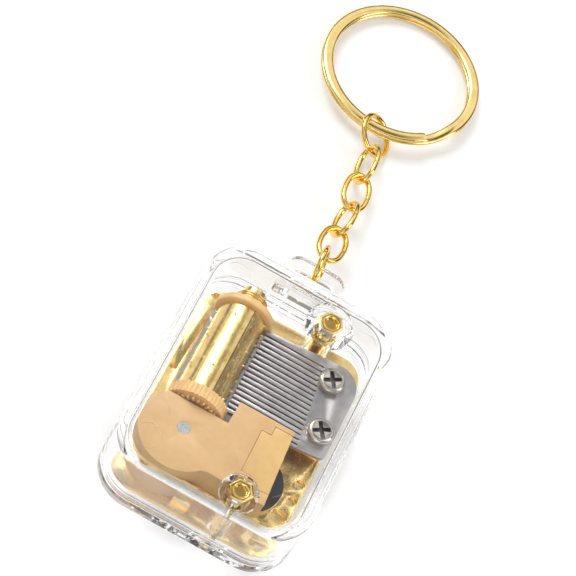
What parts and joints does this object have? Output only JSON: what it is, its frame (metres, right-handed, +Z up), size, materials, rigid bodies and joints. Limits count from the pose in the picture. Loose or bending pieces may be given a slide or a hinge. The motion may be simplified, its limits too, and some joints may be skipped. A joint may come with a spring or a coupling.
{
  "type": "cylinder music box key chain",
  "caption": "Small clear-cased cylinder music box with comb, pinned cylinder, spring barrel, governor and folding winding key, on a chain with a split key ring.",
  "frame": {"origin": "middle of the case's flat underside", "axes": "+X towards the comb's screws, +Y towards the lug and chain, +Z up through the clear cover"},
  "size_m": [0.0428, 0.141, 0.018],
  "materials": {
    "clear_cover": "clear, glossy",
    "clear_base": "clear, glossy",
    "gold_plate": "bright plated",
    "gold_fastener": "bright plated",
    "gold_chain": "bright plated",
    "gold_ring": "bright plated",
    "comb_steel": "ground",
    "nickel": "plated",
    "steel": "turned",
    "spring_steel": "blued",
    "cylinder_brass": "polished",
    "cream_plastic": "satin",
    "tan_plastic": "satin",
    "lid_plastic": "satin",
    "dark_plastic": "satin",
    "white_plastic": "moulded",
    "lead": "dull"
  },
  "bodies": {
    "case": {"cover_shell": "clear_cover", "base_tray": "clear_base", "case_screws": "gold_fastener", "case_nuts": "gold_fastener", "bedplate": "gold_plate", "governor_floor": "dark_plastic", "comb": "comb_steel", "comb_weights": "lead", "comb_screws": "nickel", "cylinder_bracket": "gold_plate", "governor_housing": "tan_plastic", "housing_lid": "lid_plastic"},
    "cylinder": {"cylinder": "cylinder_brass", "cylinder_cap": "cream_plastic", "cylinder_gear": "cream_plastic", "cylinder_shaft": "steel", "end_spring": "gold_fastener"},
    "barrel": {"spring_barrel": "white_plastic", "barrel_lid": "steel", "mainspring": "spring_steel"},
    "wheel_1": {"governor_wheel_1": "white_plastic", "governor_arbor_1": "steel"},
    "wheel_2": {"governor_wheel_2": "white_plastic", "governor_arbor_2": "steel"},
    "governor": {"governor_worm": "white_plastic", "governor_shaft": "steel", "governor_fly": "white_plastic"},
    "key": {"winding_arbor": "steel", "key_hub": "gold_fastener", "key_pin": "steel"},
    "key_handle": {"key_handle": "gold_fastener"},
    "lug_ring": {"lug_ring": "gold_chain"},
    "chain_link_1": {"chain_link_1": "gold_chain"},
    "chain_link_2": {"chain_link_2": "gold_chain"},
    "chain_link_3": {"chain_link_3": "gold_chain"},
    "chain_link_4": {"chain_link_4": "gold_chain"},
    "end_ring": {"end_ring": "gold_chain"},
    "split_ring": {"split_ring": "gold_ring"}
  },
  "joints": [
    {"name": "cylinder_spin", "type": "hinge", "parent": "case", "child": "cylinder", "pos_m": [-0.0091, 0.006, 0.0092], "axis": [0, 1, 0], "continuous": true},
    {"name": "barrel_spin", "type": "hinge", "parent": "case", "child": "barrel", "pos_m": [-0.0091, -0.0136, 0.009], "axis": [0, 0, 1], "continuous": true},
    {"name": "wheel_1_spin", "type": "hinge", "parent": "case", "child": "wheel_1", "pos_m": [-0.00159, -0.01492, 0.007], "axis": [0, 0, 1], "continuous": true},
    {"name": "wheel_2_spin", "type": "hinge", "parent": "case", "child": "wheel_2", "pos_m": [0.0026, -0.01212, 0.007], "axis": [0, 0, 1], "continuous": true},
    {"name": "governor_spin", "type": "hinge", "parent": "case", "child": "governor", "pos_m": [0.0073, -0.01, 0.00865], "axis": [0, 1, 0], "continuous": true},
    {"name": "key_wind", "type": "hinge", "parent": "case", "child": "key", "pos_m": [-0.0091, -0.0136, 0.00085], "axis": [0, 0, 1], "range_deg": [0, 1440]},
    {"name": "key_fold", "type": "hinge", "parent": "key", "child": "key_handle", "pos_m": [-0.0091, -0.0136, 0.00085], "axis": [1, 0, 0], "range_deg": [0, 90]},
    {"name": "lug_ring_swing", "type": "hinge", "parent": "case", "child": "lug_ring", "pos_m": [0, 0.0351, 0.009], "axis": [1, 0, 0], "range_deg": [-60, 60]},
    {"name": "chain_link_1_swing", "type": "hinge", "parent": "lug_ring", "child": "chain_link_1", "pos_m": [0, 0.04095, 0.00807], "axis": [0.1736, -0.2047, -0.9633], "range_deg": [-40, 40]},
    {"name": "chain_link_2_swing", "type": "hinge", "parent": "chain_link_1", "child": "chain_link_2", "pos_m": [0.00015, 0.04901, 0.00627], "axis": [-0.984, 0.0551, 0.1695], "range_deg": [-40, 40]},
    {"name": "chain_link_3_swing", "type": "hinge", "parent": "chain_link_2", "child": "chain_link_3", "pos_m": [-0.00017, 0.05715, 0.00486], "axis": [0.4944, 0.1677, 0.8529], "range_deg": [-40, 40]},
    {"name": "chain_link_4_swing", "type": "hinge", "parent": "chain_link_3", "child": "chain_link_4", "pos_m": [-0.00076, 0.06533, 0.00389], "axis": [-0.9775, -0.043, 0.2064], "range_deg": [-40, 40]},
    {"name": "end_ring_swing", "type": "hinge", "parent": "chain_link_4", "child": "end_ring", "pos_m": [-0.0018, 0.07352, 0.00351], "axis": [0.4907, 0.1059, 0.8648], "range_deg": [-35, 35]},
    {"name": "split_ring_swing", "type": "hinge", "parent": "end_ring", "child": "split_ring", "pos_m": [-0.00329, 0.08088, 0.00347], "axis": [-0.753, -0.1407, 0.6428], "range_deg": [-20, 8]}
  ],
  "couplings": [
    {"joint": "barrel_spin", "follows": "cylinder_spin", "ratio": 0.75},
    {"joint": "wheel_1_spin", "follows": "cylinder_spin", "ratio": -3},
    {"joint": "wheel_2_spin", "follows": "cylinder_spin", "ratio": 5.4},
    {"joint": "governor_spin", "follows": "cylinder_spin", "ratio": -64.8}
  ]
}
